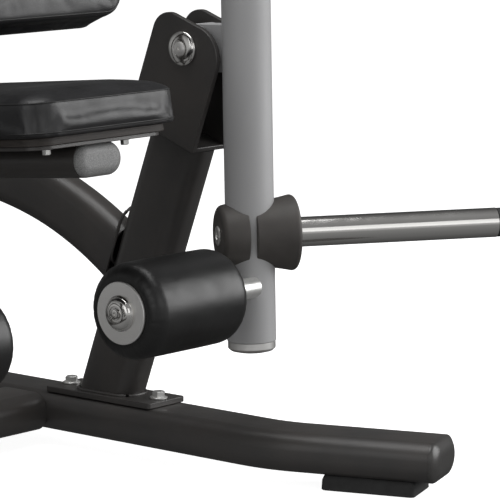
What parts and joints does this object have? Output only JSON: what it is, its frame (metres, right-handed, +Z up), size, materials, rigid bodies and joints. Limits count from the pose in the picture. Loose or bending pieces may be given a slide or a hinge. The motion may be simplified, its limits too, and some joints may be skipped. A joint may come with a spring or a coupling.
{
  "type": "plate loaded lat pulldown machine",
  "caption": "Plate loaded lat pulldown machine with seat, reclined back pad, overhead pulling arms, and low swinging levers with shin rollers and plate horns.",
  "frame": {"origin": "on the floor, at the middle of the machine's width and depth", "axes": "+Z up, -Y the way the user faces, +X to the user's left"},
  "size_m": [1.6912, 1.5087, 2.1579],
  "materials": {
    "frame_paint": "charcoal black powder coat, semi matt with a fine orange peel",
    "silver_paint": "satin metallic silver grey lacquer",
    "chrome": "polished",
    "zinc_steel": "bright zinc, lightly turned",
    "collar_plastic": "moulded, matt charcoal",
    "tube_end_cap": "fine grained moulded grey",
    "foot_rubber": "matt",
    "roller_vinyl": "smooth semi gloss black vinyl over foam",
    "pad_vinyl": "fine grained black vinyl upholstery over foam",
    "board": "plywood with a black stained edge"
  },
  "bodies": {
    "frame": {"arch_brace_left": "frame_paint", "arch_brace_right": "frame_paint", "arm_pivot_pin_left": "chrome", "arm_pivot_pin_right": "chrome", "back_board": "board", "back_bracket": "frame_paint", "back_pad": "pad_vinyl", "flange_bolt_front_left": "zinc_steel", "flange_bolt_front_right": "zinc_steel", "flange_bolt_rear_left": "zinc_steel", "flange_bolt_rear_right": "zinc_steel", "front_cross_member": "frame_paint", "front_foot_left": "foot_rubber", "front_foot_right": "foot_rubber", "head_tube": "frame_paint", "lever_pivot_pin_left": "chrome", "lever_pivot_pin_right": "chrome", "mast": "frame_paint", "pivot_clevis_left": "frame_paint", "pivot_clevis_right": "frame_paint", "rail_cap_left": "tube_end_cap", "rail_cap_right": "tube_end_cap", "rear_cross_member": "frame_paint", "rear_foot_left": "foot_rubber", "rear_foot_right": "foot_rubber", "rear_strut": "frame_paint", "seat_beam": "frame_paint", "seat_beam_cap": "tube_end_cap", "seat_board": "board", "seat_pad": "pad_vinyl", "side_rail_left": "frame_paint", "side_rail_right": "frame_paint", "side_upright_left": "frame_paint", "side_upright_right": "frame_paint"},
    "lever_left": {"lever_tube_left": "silver_paint", "lever_end_ring_left": "chrome", "horn_collar_outer_left": "collar_plastic", "horn_collar_inner_left": "collar_plastic", "plate_horn_left": "chrome", "horn_plug_left": "foot_rubber", "roller_axle_left": "zinc_steel", "roller_end_cap_left": "zinc_steel"},
    "roller_left": {"shin_roller_left": "roller_vinyl"},
    "arm_left": {"pulldown_arm_left": "silver_paint", "hand_grip_left": "foot_rubber", "arm_plate_horn_left": "chrome", "arm_horn_collar_left": "collar_plastic"},
    "lever_right": {"lever_tube_right": "silver_paint", "lever_end_ring_right": "chrome", "horn_collar_outer_right": "collar_plastic", "horn_collar_inner_right": "collar_plastic", "plate_horn_right": "chrome", "horn_plug_right": "foot_rubber", "roller_axle_right": "zinc_steel", "roller_end_cap_right": "zinc_steel"},
    "roller_right": {"shin_roller_right": "roller_vinyl"},
    "arm_right": {"pulldown_arm_right": "silver_paint", "hand_grip_right": "foot_rubber", "arm_plate_horn_right": "chrome", "arm_horn_collar_right": "collar_plastic"}
  },
  "joints": [
    {"name": "lever_swing_left", "type": "hinge", "parent": "frame", "child": "lever_left", "pos_m": [0.486, -0.30139, 0.69841], "axis": [-1, 0, 0], "range_deg": [0, 70]},
    {"name": "roller_spin_left", "type": "hinge", "parent": "lever_left", "child": "roller_left", "pos_m": [0.2595, -0.43703, 0.31889], "axis": [1, 0, 0], "continuous": true},
    {"name": "arm_pull_left", "type": "hinge", "parent": "frame", "child": "arm_left", "pos_m": [0.34, 0.0593, 1.964], "axis": [1, 0, 0], "range_deg": [0, 50]},
    {"name": "lever_swing_right", "type": "hinge", "parent": "frame", "child": "lever_right", "pos_m": [-0.486, -0.30139, 0.69841], "axis": [-1, 0, 0], "range_deg": [0, 70]},
    {"name": "roller_spin_right", "type": "hinge", "parent": "lever_right", "child": "roller_right", "pos_m": [-0.2595, -0.43703, 0.31889], "axis": [1, 0, 0], "continuous": true},
    {"name": "arm_pull_right", "type": "hinge", "parent": "frame", "child": "arm_right", "pos_m": [-0.34, 0.0593, 1.964], "axis": [1, 0, 0], "range_deg": [0, 50]}
  ]
}
